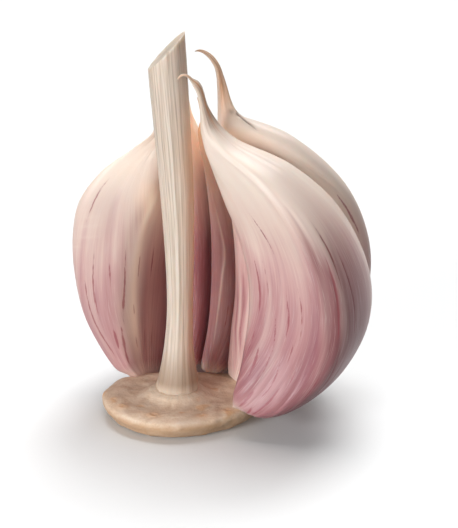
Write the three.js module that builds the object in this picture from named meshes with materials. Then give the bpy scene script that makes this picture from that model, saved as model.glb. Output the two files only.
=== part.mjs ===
// A hardneck garlic bulb, broken half open: five cloves still stand round the dry flower stem on the basal plate.
// Millimetres, +Z up. The origin is on the surface that the bulb rests on, under the foot of the stem.
// Azimuths are degrees anticlockwise from +X, seen from above. The open side faces -Y and -X.

import * as THREE from 'three';

// Driving dimensions
const gap = 0.3; // between pieces that touch on the real bulb
const halfGap = gap / 2;
const plateTop = 3.75;
const socketFloor = 3.4;
const stemTop = 60;
const flatSpot = 0; // height of the surface under the bellies that carry the bulb

// Fineness of the faceted solids
const cloveColumns = 22;
const bodyRows = 25;
const tailRows = 12;
const stemColumns = 20;
const stemRows = 16;
const plateColumns = 44;
const outlineSteps = 720; // for measuring the length round a section

// The basal plate: ring radius, height, and how far the ring's middle has moved from the rim's to the stem's
const rimCentre = [0.8, -0.95];
const footCentre = [0.08, 0.5];
const rimOval = 0.09; // the rim is an oval with a slight third lobe
const rimOvalAzimuth = 7;
const rimLobe = 0.042;
const rimLobeAzimuth = 20;
const plateRings = [
  [9.3, 0, 0], [11.0, 0.6, 0], [12.0, 1.7, 0], [12.3, 2.7, 0], [11.8, 3.45, 0],
  [9.9, plateTop, 0.1], [7.6, 3.5, 0.6], [6.1, 3.4, 1], [5.2, 3.6, 1], [4.5, 3.95, 1],
  [4.1, 4.0, 1], [3.9, 3.8, 1], [3.85, socketFloor, 1],
];

// The stem: height, radius, x and y of its middle, from the foot up
const stemLine = [
  [socketFloor + gap, 3.3, 0.1, 0.5], [4.6, 3.5, 0.08, 0.5], [6.4, 3.15, 0.2, 0.4], [9, 2.7, 0.27, 0.3],
  [12, 2.36, 0.38, 0.2], [16, 2.17, 0.58, 0], [20, 2.14, 0.66, 0], [26, 2.3, 0.65, 0], [34, 2.58, 0.47, 0],
  [42, 2.8, 0.08, 0], [50, 2.95, -0.45, 0], [57, 3.05, -0.92, 0], [64, 3.05, -1.3, 0],
];
const cutSlopeX = 0.95; // the stem was cut slantwise, higher towards +X
const cutSlopeY = 0.04;
const rowSpacing = 1.4; // above 1 the rings stand closer together at the foot
const tiltPower = 8; // how late the rings begin to tilt to meet the cut

// The cloves. A clove is a stack of cross-sections between an outer line and an inner line, both in the upright
// plane through the stem at its azimuth. Each section is a polygon with its corners rounded: the outer face, the
// inner face, two side faces and a bevel between the outer face and each side. A side face lies in an upright
// plane, given by the azimuth that it faces and its distance from the stem's axis. The tail is the dry hooked tip.
const cornerPower = [9, 8, 7, 6, 5, 5, 5, 5, 5, 5]; // higher is squarer, from the scar to the neck
const leastHalfWidth = 0.35;
const cloves = [
  {
    name: 'clove_front_right',
    azimuth: -15,
    turn: [0, 0, 0, 0, 0, 0, 0, 0, 0, 0],
    outer: [[13.6, 4.2], [17.2, 3.1], [22.5, 4.8], [28.2, 10.0], [31.6, 17.5], [31.0, 26.2], [26.4, 35.2],
      [18.6, 42.3], [10.4, 46.2], [6.9, 48.8]],
    inner: [[10.0, 4.3], [10.6, 7], [11.5, 12], [11.8, 18], [11.3, 25], [9.3, 31.5], [7.4, 37],
      [6.3, 41.5], [5.2, 45.5], [4.4, 48.8]],
    sideFacing: [-128, 96],
    sideOffset: [[1.2, 1.6, 0.2, -1.8, -2.6, -2.6, -1.2, 0, 0.6, 0.6], Array(10).fill(-halfGap)],
    bevelAngle: [35, 35],
    bevelDepth: [0.76, 0.88],
    tail: [[5.15, -2.6, 50.3, 0.74], [4.75, -3.0, 51.5, 0.52], [4.5, -3.2, 52.8, 0.43], [4.15, -3.5, 54.3, 0.4],
      [3.6, -3.8, 55.5, 0.37], [2.9, -4.1, 56.3, 0.2], [2.2, -4.3, 57.0, 0.14], [1.4, -4.5, 57.15, 0.12],
      [0.75, -4.6, 56.6, 0.08]],
    colour: 0xe3cfc6,
  },
  {
    name: 'clove_right',
    azimuth: 24.5,
    turn: [0, 0, 0, 0, 0, 0, 0, 0, 0, 0],
    outer: [[14.0, 3.9], [18.4, -0.2], [23.6, 2.6], [29.9, 10], [33.4, 20], [32.9, 29], [28.5, 37.8],
      [20.2, 45], [11.6, 48.9], [9.5, 51.5]],
    inner: [[9.5, 4.2], [9.8, 7], [10.2, 12], [10.6, 18], [10.4, 24], [9.8, 30], [8.8, 37],
      [7.8, 43], [7.6, 47.5], [7.6, 51.5]],
    sideFacing: [-84, 133],
    sideOffset: [[...Array(8).fill(-halfGap), -0.6, -1.2], [...Array(8).fill(-halfGap), -0.6, -1.2]],
    bevelAngle: [35, 35],
    bevelDepth: [0.86, 0.86],
    tail: [[7.55, 3.2, 53.3, 0.8], [7.2, 3.1, 55.2, 0.6], [6.75, 3, 56.8, 0.5], [5.9, 2.9, 58.2, 0.42],
      [4.9, 2.8, 59.1, 0.33], [4.0, 2.8, 59.45, 0.22], [3.2, 2.8, 59.35, 0.08]],
    colour: 0xd8c3bd,
  },
  {
    name: 'clove_back_right',
    azimuth: 57,
    turn: [0, 0, 0, 0, 0, 0, -2, -4, -6, -8],
    outer: [[12.8, 3.9], [17, -0.2], [22, 2.6], [26.5, 10], [28.5, 20], [27, 29], [22, 36.5],
      [14.5, 42], [9.2, 45], [7.6, 46.5]],
    inner: [[8.7, 4.2], [9.8, 7], [11.3, 12], [11.6, 18], [11.4, 24], [10.6, 30], [9, 36.5],
      [7.2, 41], [5.8, 44], [5, 46.5]],
    sideFacing: [-47, 161],
    sideOffset: [Array(10).fill(-halfGap), [-halfGap, -0.3, -0.6, -0.8, -0.9, -1, -1.1, -1.4, -1.7, -1.7]],
    bevelAngle: [35, 35],
    bevelDepth: [0.88, 0.88],
    tail: [[4.5, 4.8, 48, 0.62], [4.15, 4.6, 49.6, 0.42], [3.8, 4.5, 50.9, 0.25], [3.5, 4.4, 51.7, 0.1]],
    colour: 0xcfb4b1,
  },
  {
    name: 'clove_back',
    azimuth: 86,
    turn: [0, 0, 0, 0, 0, 0, -2, -4, -5, -5],
    outer: [[12.8, 3.9], [17, -0.2], [22, 2.6], [26.5, 10], [28.5, 20], [27, 29], [22, 37],
      [14.5, 43], [9, 46.2], [7.0, 49]],
    inner: [[8.7, 4.2], [9.9, 7], [11.3, 12], [11.5, 18], [11.3, 24], [10.4, 30], [8.8, 37],
      [6.8, 42], [5, 46], [4.2, 49]],
    sideFacing: [-19, 190],
    sideOffset: [[-halfGap, 0, 0.3, 0.5, 0.6, 0.7, 0.8, 1.1, 1.4, 0.9],
      [-halfGap, -0.9, -1.7, -2.2, -2.2, -2.1, -1.6, -0.9, -halfGap, -halfGap]],
    bevelAngle: [35, 35],
    bevelDepth: [0.88, 0.88],
    tail: [[1.0, 5, 51.5, 0.6], [0.7, 4.6, 54, 0.4], [0.4, 4.3, 55.3, 0.25], [0.2, 4.2, 56, 0.1]],
    colour: 0xb98a80,
  },
  {
    name: 'clove_left',
    azimuth: 150,
    turn: [0, 0, 0, 0, 0, -2, -8, -18, -28, -34],
    outer: [[11.0, 3.9], [13.0, 5.2], [15.7, 9.3], [18.4, 14.7], [19.9, 20.6], [20.0, 27.1], [18.2, 33.4],
      [13.6, 39.0], [8.8, 42.7], [6.0, 45.4]],
    inner: [[8.4, 4.2], [9.2, 7], [9.7, 11], [9.8, 16], [9.1, 22], [7.6, 29], [6, 35],
      [4.8, 39], [4.2, 42.5], [3.8, 45]],
    sideFacing: [10, 265],
    sideOffset: [[-halfGap, 0.6, 1.4, 1.9, 1.9, 1.8, 1.3, 0.6, -halfGap, -halfGap],
      [-4, -4, -3.8, -3.6, -3.6, -3.6, -3.6, -3.6, -3.7, -3.8]],
    bevelAngle: [35, 40],
    bevelDepth: [0.88, 0.86],
    tail: [[-1.7, 5.0, 47.3, 0.7], [-1.5, 4.9, 49.5, 0.45], [-1.3, 4.8, 51, 0.25], [-1.1, 4.7, 52, 0.1]],
    colour: 0xd9bcbb,
  },
];

const radians = THREE.MathUtils.degToRad;
const flat = (azimuth) => new THREE.Vector3(Math.cos(radians(azimuth)), Math.sin(radians(azimuth)), 0);
const turnOf = (count) => Array.from({ length: count }, (_, k) => (2 * Math.PI * k) / count);

// A smooth curve through rows of numbers, read at t from 0 to the last row (Catmull-Rom).
function curveAt(rows, t) {
  const last = rows.length - 1;
  const i = Math.min(Math.floor(t), last - 1);
  const f = t - i;
  const [a, b, c, d] = [i - 1, i, i + 1, i + 2].map((k) => rows[THREE.MathUtils.clamp(k, 0, last)]);
  return b.map((value, k) => 0.5 * (2 * value + (c[k] - a[k]) * f
    + (2 * a[k] - 5 * value + 4 * c[k] - d[k]) * f ** 2
    + (3 * value - 3 * c[k] + d[k] - a[k]) * f ** 3));
}
const valueAt = (list, t) => curveAt(list.map((value) => [value]), t)[0];

// One cross-section of a clove at station t: its middle, its two directions and its faces, each face being the
// direction that it looks in and its distance from the middle.
function sectionAt(clove, t) {
  const azimuth = clove.azimuth + valueAt(clove.turn, t);
  const away = flat(azimuth);
  const round = flat(azimuth + 90);
  const [outerRadius, outerHeight] = curveAt(clove.outer, t);
  const [innerRadius, innerHeight] = curveAt(clove.inner, t);
  const outer = away.clone().multiplyScalar(outerRadius).setZ(outerHeight);
  const inner = away.clone().multiplyScalar(innerRadius).setZ(innerHeight);
  const half = outer.distanceTo(inner) / 2;
  const across = outer.clone().sub(inner).normalize();
  const middle = outer.clone().add(inner).multiplyScalar(0.5);
  const sides = clove.sideFacing.map((facing, k) => [flat(facing), valueAt(clove.sideOffset[k], t)]);
  const reach = sides.map(([normal, offset]) => (offset - middle.dot(normal)) / round.dot(normal));
  middle.addScaledVector(round, (reach[0] + reach[1]) / 2);

  const faces = [[1, 0, half], [-1, 0, half]];
  for (const [normal, offset] of sides) {
    const x = across.dot(normal);
    const y = round.dot(normal);
    const length = Math.hypot(x, y);
    faces.push([x / length, y / length, Math.max((offset - middle.dot(normal)) / length, leastHalfWidth)]);
  }
  for (const k of [0, 1]) {
    const [x, y, distance] = faces[2 + k];
    const corner = (distance - x * half) / y; // where the side meets the outer face
    const bevelX = Math.cos(radians(clove.bevelAngle[k]));
    const bevelY = (k === 0 ? -1 : 1) * Math.sin(radians(clove.bevelAngle[k]));
    const bevelDistance = (bevelX * half + bevelY * corner) * clove.bevelDepth[k];
    faces.push([bevelX, bevelY, Math.max(bevelDistance, leastHalfWidth)]);
  }
  return { middle, across, round, faces, power: valueAt(cornerPower, t) };
}

// How far a section reaches in the direction of an angle: the p-norm of its faces, which rounds every corner.
function reachOf({ faces, power }, angle) {
  const sum = faces.reduce((total, [x, y, distance]) => {
    const part = (x * Math.cos(angle) + y * Math.sin(angle)) / distance;
    return total + Math.max(part, 0) ** power;
  }, 0);
  return sum ** (-1 / power);
}

// Angles that divide a section's outline into steps of even length.
function evenAngles(section, count) {
  const fine = turnOf(outlineSteps).concat(2 * Math.PI);
  const spots = fine.map((angle) => new THREE.Vector2(Math.cos(angle), Math.sin(angle))
    .multiplyScalar(reachOf(section, angle)));
  const lengths = [0];
  for (let k = 1; k < spots.length; k += 1) {
    lengths.push(lengths[k - 1] + spots[k].distanceTo(spots[k - 1]));
  }
  const total = lengths[lengths.length - 1];
  return Array.from({ length: count }, (_, k) => {
    const wanted = (total * k) / count;
    const after = lengths.findIndex((length) => length > wanted);
    const f = (wanted - lengths[after - 1]) / (lengths[after] - lengths[after - 1]);
    return fine[after - 1] + f * (fine[after] - fine[after - 1]);
  });
}

function ringPoints(middle, across, round, reaches, angles, scale) {
  return angles.map((angle, k) => middle.clone()
    .addScaledVector(across, scale * reaches[k] * Math.cos(angle))
    .addScaledVector(round, scale * reaches[k] * Math.sin(angle)));
}

// A closed body from a stack of rings that all have the same number of points, with a fan at each end.
function stackedRings(rings) {
  const columns = rings[0].length;
  const middleOf = (ring) => ring.reduce((sum, point) => sum.add(point), new THREE.Vector3())
    .divideScalar(columns);
  const points = [...rings.flat(), middleOf(rings[0]), middleOf(rings[rings.length - 1])];
  const index = [];
  for (let row = 0; row < rings.length - 1; row += 1) {
    for (let k = 0; k < columns; k += 1) {
      const next = (k + 1) % columns;
      const [a, b] = [row * columns + k, row * columns + next];
      index.push(a, b, b + columns, a, b + columns, a + columns);
    }
  }
  const topRow = (rings.length - 1) * columns;
  for (let k = 0; k < columns; k += 1) {
    const next = (k + 1) % columns;
    index.push(points.length - 2, next, k, points.length - 1, topRow + k, topRow + next);
  }
  const geometry = new THREE.BufferGeometry().setFromPoints(points);
  geometry.setIndex(index);
  geometry.computeVertexNormals();
  return geometry;
}

function cloveGeometry(clove) {
  const last = clove.outer.length - 1;
  const angles = evenAngles(sectionAt(clove, last / 2), cloveColumns);
  const rings = [];
  for (let row = 0; row < bodyRows; row += 1) {
    const section = sectionAt(clove, (last * row) / (bodyRows - 1));
    const reaches = angles.map((angle) => reachOf(section, angle));
    rings.push(ringPoints(section.middle, section.across, section.round, reaches, angles, 1));
  }

  // The tail carries the neck's section on along its own path, turning it with the path as it goes. The path takes
  // its first direction and its narrowing from the shoulder below the neck.
  const neck = sectionAt(clove, last);
  const shoulder = sectionAt(clove, last - 1);
  const meanOf = (numbers) => numbers.reduce((sum, number) => sum + number) / numbers.length;
  const neckReaches = angles.map((angle) => reachOf(neck, angle));
  const narrowing = meanOf(angles.map((angle) => reachOf(shoulder, angle))) / meanOf(neckReaches);
  const path = [[...shoulder.middle.toArray(), narrowing], [...neck.middle.toArray(), 1], ...clove.tail];
  const pathAt = (t) => curveAt(path, THREE.MathUtils.clamp(t, 0, path.length - 1));
  const placeAt = (t) => new THREE.Vector3(...pathAt(t).slice(0, 3));
  const step = 0.05;
  const headingAt = (t) => placeAt(t + step).sub(placeAt(t - step)).normalize();
  let heading = headingAt(1);
  for (let row = 1; row <= tailRows; row += 1) {
    const t = 1 + ((path.length - 2) * row) / tailRows;
    const newHeading = headingAt(t);
    const turn = new THREE.Quaternion().setFromUnitVectors(heading, newHeading);
    neck.across.applyQuaternion(turn);
    neck.round.applyQuaternion(turn);
    heading = newHeading;
    rings.push(ringPoints(placeAt(t), neck.across, neck.round, neckReaches, angles, pathAt(t)[3]));
  }
  for (const point of rings.flat()) {
    point.z = Math.max(point.z, flatSpot);
  }
  return stackedRings(rings);
}

function stemGeometry() {
  const foot = stemLine[0][0];
  const angles = turnOf(stemColumns);
  const rings = [];
  for (let row = 0; row < stemRows; row += 1) {
    const f = row / (stemRows - 1);
    rings.push(angles.map((angle) => {
      const [, topRadius] = stemLine[stemLine.length - 2];
      const rise = topRadius * (cutSlopeX * Math.cos(angle) + cutSlopeY * Math.sin(angle));
      const height = foot + f ** rowSpacing * (stemTop - foot) + f ** tiltPower * rise;
      const below = stemLine.findLastIndex(([z]) => z <= height + 1e-9);
      const span = stemLine[below + 1][0] - stemLine[below][0];
      const [, radius, x, y] = curveAt(stemLine, below + (height - stemLine[below][0]) / span);
      return new THREE.Vector3(x + radius * Math.cos(angle), y + radius * Math.sin(angle), height);
    }));
  }
  return stackedRings(rings);
}

function plateGeometry() {
  const rings = plateRings.map(([radius, height, shift]) => turnOf(plateColumns).map((angle) => {
    const swell = rimOval * Math.cos(2 * (angle - radians(rimOvalAzimuth)))
      + rimLobe * Math.cos(3 * (angle - radians(rimLobeAzimuth)));
    const oval = 1 + (1 - shift) * swell;
    const x = THREE.MathUtils.lerp(rimCentre[0], footCentre[0], shift);
    const y = THREE.MathUtils.lerp(rimCentre[1], footCentre[1], shift);
    return new THREE.Vector3(x + radius * oval * Math.cos(angle), y + radius * oval * Math.sin(angle), height);
  }));
  return stackedRings(rings);
}

const bulb = new THREE.Group();

function addPiece(name, geometry, colour, roughness) {
  const material = new THREE.MeshStandardMaterial({ color: colour, roughness, metalness: 0 });
  const mesh = new THREE.Mesh(geometry, material);
  mesh.name = name;
  bulb.add(mesh);
}

addPiece('basal_plate', plateGeometry(), 0xb79273, 0.85);
addPiece('stem', stemGeometry(), 0xddcbae, 0.7);
for (const clove of cloves) {
  addPiece(clove.name, cloveGeometry(clove), clove.colour, 0.45);
}

export default bulb;
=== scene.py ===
# Dresses a hardneck garlic bulb, broken half open: five cloves round a dry stem on a woody basal plate.
# Shapes are worked out in millimetres as whole numpy arrays and put into meshes in metres.

import math

import bpy
import numpy as np
from mathutils import Euler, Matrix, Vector


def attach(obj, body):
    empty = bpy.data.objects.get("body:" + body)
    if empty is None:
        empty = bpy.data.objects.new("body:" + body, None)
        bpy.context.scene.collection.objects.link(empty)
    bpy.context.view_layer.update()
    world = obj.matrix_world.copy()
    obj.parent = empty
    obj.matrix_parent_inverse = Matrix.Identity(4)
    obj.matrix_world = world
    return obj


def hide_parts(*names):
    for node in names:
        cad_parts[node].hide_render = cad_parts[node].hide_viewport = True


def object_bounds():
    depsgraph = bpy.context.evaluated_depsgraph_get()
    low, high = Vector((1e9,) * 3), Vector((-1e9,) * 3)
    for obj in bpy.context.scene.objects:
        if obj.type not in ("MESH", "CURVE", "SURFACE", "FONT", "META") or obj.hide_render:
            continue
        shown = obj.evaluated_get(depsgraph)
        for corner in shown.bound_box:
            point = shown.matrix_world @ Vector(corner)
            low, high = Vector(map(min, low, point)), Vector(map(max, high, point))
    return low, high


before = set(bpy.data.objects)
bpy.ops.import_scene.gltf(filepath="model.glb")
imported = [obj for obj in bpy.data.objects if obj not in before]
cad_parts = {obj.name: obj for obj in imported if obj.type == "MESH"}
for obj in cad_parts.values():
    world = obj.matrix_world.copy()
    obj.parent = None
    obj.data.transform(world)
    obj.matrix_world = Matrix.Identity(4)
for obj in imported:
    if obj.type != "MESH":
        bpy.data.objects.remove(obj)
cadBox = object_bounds()
mm = 0.001
tiny = 1e-9
noiseTable = dict(size=4096, primes=(73856093, 19349663, 83492791))  # size is a power of two
print("frame loaded:", len(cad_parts), "nodes")


def curveAt(rows, t):
    # Catmull-Rom: a smooth curve through rows of numbers, read at every t from 0 to the last row
    rows = np.asarray(rows, float)
    rows = rows[:, None] if rows.ndim == 1 else rows
    last = len(rows) - 1
    t = np.clip(np.atleast_1d(t), 0, last)
    i = np.minimum(np.floor(t).astype(int), last - 1)
    f = (t - i)[:, None]
    a, b, c, d = (rows[np.clip(i + k, 0, last)] for k in (-1, 0, 1, 2))
    return 0.5 * (2 * b + (c - a) * f + (2 * a - 5 * b + 4 * c - d) * f**2 + (3 * b - 3 * c + d - a) * f**3)


def smoothStep(low, high, value):
    # 0 below low, 1 above high, and a soft S between them
    f = np.clip((value - low) / (high - low), 0, 1)
    return f * f * (3 - 2 * f)


def bell(value, width):
    # 1 at 0, falling to about 0.37 at the given width
    return np.exp(-(value / width) ** 2)


def softNoise(points, seed):
    # random values at the corners of a unit lattice, blended by a soft S between them: -1 to 1
    table = np.random.default_rng(seed).uniform(-1, 1, noiseTable["size"])
    cell = np.floor(points).astype(np.int64)
    f = points - cell
    f = f * f * (3 - 2 * f)
    total = 0
    for corner in np.ndindex(2, 2, 2):
        x, y, z = (part * prime for part, prime in zip(np.moveaxis(cell + np.array(corner), -1, 0),
                                                       noiseTable["primes"]))
        picked = table[(x ^ y ^ z) & (noiseTable["size"] - 1)]
        share = np.prod(np.where(np.array(corner) == 1, f, 1 - f), axis=-1)
        total = total + picked * share
    return total


def gridNormals(grid):
    # the cross product of a grid's two directions; columns run round and close on themselves
    around = np.roll(grid, -1, 1) - np.roll(grid, 1, 1)
    along = np.gradient(grid, axis=0)
    normal = np.cross(around, along)
    return normal / np.maximum(np.linalg.norm(normal, axis=-1, keepdims=True), tiny)


def aroundRing(angle, radius, height):
    # points of a cylinder: the radius times cos and sin of the angle, at the given height
    return np.stack([radius * np.cos(angle), radius * np.sin(angle), height], -1)


def runAlong(points):
    # how far each point of a line is from the first, along the line
    return np.concatenate([[0], np.cumsum(np.linalg.norm(np.diff(points, axis=0), axis=1))])


def ringsInward(ring, shares, drop):
    # copies of a ring drawn in to its middle, each lowered by drop times 1 minus its share to the power of 4
    shares, centre = np.array(shares)[:, None, None], ring.mean(0)
    rings = centre + (ring - centre) * shares
    rings[..., 2] -= drop * (1 - shares[..., 0] ** 4)
    return rings


def hexColour(code):
    # a colour as a painter would pick it, turned into the linear values that shaders take, and full cover
    values = np.array([int(code[k:k + 2], 16) for k in (0, 2, 4)]) / 255
    return *map(float, np.where(values > 0.04045, ((values + 0.055) / 1.055) ** 2.4, values / 12.92)), 1.0


def stand(name, data):
    # a new object, put into the scene
    thing = bpy.data.objects.new(name, data)
    bpy.context.scene.collection.objects.link(thing)
    return thing


def makePiece(name, grid, fields, material, node):
    # a closed skin over a grid of rows and columns, with a fan of triangles at each end, kept inside the solids' box
    rows, columns = grid.shape[:2]
    points = np.vstack([grid.reshape(-1, 3), grid[0].mean(0), grid[-1].mean(0)]) * mm
    row, k = np.arange(rows - 1)[:, None] * columns, np.arange(columns)
    after, top, end = (k + 1) % columns, (rows - 1) * columns, rows * columns + 0 * k
    quads = np.stack([row + k, row + after, row + columns + after, row + columns + k], -1).reshape(-1, 4)
    fans = np.vstack([np.stack([end, after, k], -1), np.stack([end + 1, top + k, top + after], -1)])
    mesh = bpy.data.meshes.new(name)
    mesh.from_pydata(np.clip(points, *cadBox), [], [*quads.tolist(), *fans.tolist()], shade_flat=False)
    mesh.validate()
    for field, values in fields.items():
        values = np.vstack([values.reshape(-1, 3), values[0].mean(0), values[-1].mean(0)])
        mesh.attributes.new(field, "FLOAT_VECTOR", "POINT").data.foreach_set("vector", values.ravel())
    mesh.materials.append(material)
    piece = stand(name, mesh)
    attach(piece, "root")
    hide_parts(node)
    print(name, "has", 2 * len(quads) + len(fans), "triangles")


class Wire:
    # one output of a material's nodes; Python's operators on it add Math nodes
    def __init__(self, paint, socket):
        self.paint, self.socket = paint, socket

    def maths(self, operation, a, b):
        return self.paint.node("Math", {"operation": operation}, {0: a, 1: b})

    def __add__(self, other): return self.maths("ADD", self, other)
    def __radd__(self, other): return self.maths("ADD", other, self)
    def __sub__(self, other): return self.maths("SUBTRACT", self, other)
    def __rsub__(self, other): return self.maths("SUBTRACT", other, self)
    def __mul__(self, other): return self.maths("MULTIPLY", self, other)
    def __rmul__(self, other): return self.maths("MULTIPLY", other, self)


class Paint:
    # the nodes of one material, built round its Principled shader
    def __init__(self, name, constants):
        self.material = bpy.data.materials.new(name)
        self.material.use_nodes = True
        self.tree = self.material.node_tree
        self.shader = self.tree.nodes["Principled BSDF"]
        for socket, value in constants.items():
            self.shader.inputs[socket].default_value = value

    def node(self, kind, settings=None, inputs=None, out=0):
        # settings go in first, then each socket's value or link
        made = self.tree.nodes.new("ShaderNode" + kind)
        for key, value in (settings or {}).items():
            setattr(made, key, value)
        for key, value in (inputs or {}).items():
            self.feed(made.inputs[key], value)
        return Wire(self, made.outputs[out])

    def feed(self, socket, value):
        # a wire is linked, a colour's code is turned into a colour, and anything else is set
        if isinstance(value, Wire):
            self.tree.links.new(value.socket, socket)
        elif isinstance(value, str):
            socket.default_value = hexColour(value)
        else:
            socket.default_value = value

    def field(self, name):
        # a vector kept on the piece's own points, with its three numbers as wires
        vector = self.node("Attribute", {"attribute_name": name}, out="Vector")
        split = self.node("SeparateXYZ", None, {0: vector}).socket.node
        return (vector, *(Wire(self, output) for output in split.outputs))

    def stretch(self, vector, scale, shift=(0, 0, 0)):
        return self.node("Mapping", {"vector_type": "POINT"}, {"Vector": vector, "Scale": scale, "Location": shift})

    def noise(self, vector, scale, detail, rough, bend=0.0):
        return self.node("TexNoise", None, {"Vector": vector, "Scale": scale, "Detail": detail,
                                            "Roughness": rough, "Distortion": bend}, out="Fac")

    def streaks(self, vector, pace, detail, rough, bend=0.0, shift=(0, 0, 0)):
        # noise with its own pace in each direction, in patches per millimetre
        return self.noise(self.stretch(vector, pace, shift), 1.0, detail, rough, bend)

    def soft(self, value, low, high, start=0.0, end=1.0):
        return self.node("MapRange", {"interpolation_type": "SMOOTHSTEP"},
                         {"Value": value, "From Min": low, "From Max": high, "To Min": start, "To Max": end})

    def blend(self, share, a, b):
        return self.node("Mix", {"data_type": "RGBA", "blend_type": "MIX"}, {0: share, 6: a, 7: b}, out=2)

    def layers(self, colour, colours, **shares):
        # coats of the named colours laid over one another in this order, each by its own share
        for name, share in shares.items():
            colour = self.blend(share, colour, colours[name])
        return colour

    def ramp(self, stops, value):
        # a colour picked by the value, from stops of a place and a colour's code
        wire = self.node("ValToRGB", None, {"Fac": value})
        elements = wire.socket.node.color_ramp.elements
        for _ in stops[2:]:
            elements.new(0.5)
        for element, (place, code) in zip(elements, stops):
            element.position, element.color = place, hexColour(code)
        return wire

    def bump(self, height, depth, strength):
        return self.node("Bump", None, {"Height": height, "Distance": depth * mm, "Strength": strength})

    def finish(self, links):
        for socket, value in links.items():
            self.feed(self.shader.inputs[socket], value)
        return self.material


# All cloves share these. Lengths are in millimetres, and rises are shares of the body's height.
cloveForm = dict(
    rows=150, tailRows=44, scarRows=6, columns=320, outlineSpots=1441, headingStep=0.05,
    cornerPower=[6, 6, 6, 5.5, 5, 5, 5, 5, 5, 5],  # how square the corners of a section are, from base to neck
    leastHalfWidth=0.35, halfGap=0.15, skinInset=0.06,
    unevenness=0.14, unevenSize=8.0,
    ribDepth=0.06, ribSize=[2.2, 2.2, 22.0],
    pleatDepth=0.03, pleatCount=38, pleatSway=3, pleatSize=[4, 4, 9], pleatRise=(0.02, 0.2),
    tailFold=0.13, foldSize=[5, 5, 9], fineFoldSize=[2.4, 2.4, 5], fineFoldShare=0.6, tailBlend=(-4, 3),
    crackDepth=0.22, wander=0.22, wanderSize=[3, 3, 6], wanderSeed=5,
    taperPower=0.7, leastTaper=0.3, dashReach=0.4, dashPower=0.5,
    scarDrop=0.9, scarRings=(0.1, 0.93), paleHem=0.5, paleHemRise=0.05,
    hemRise=0.045, hemShrink=0.16, leanSlope=0.33, leanRise=(0.02, 0.16),
    neckSpan=9, neckPasses=40, neckShare=0.4,
)
evenSide = [-cloveForm["halfGap"]] * 10

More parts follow.
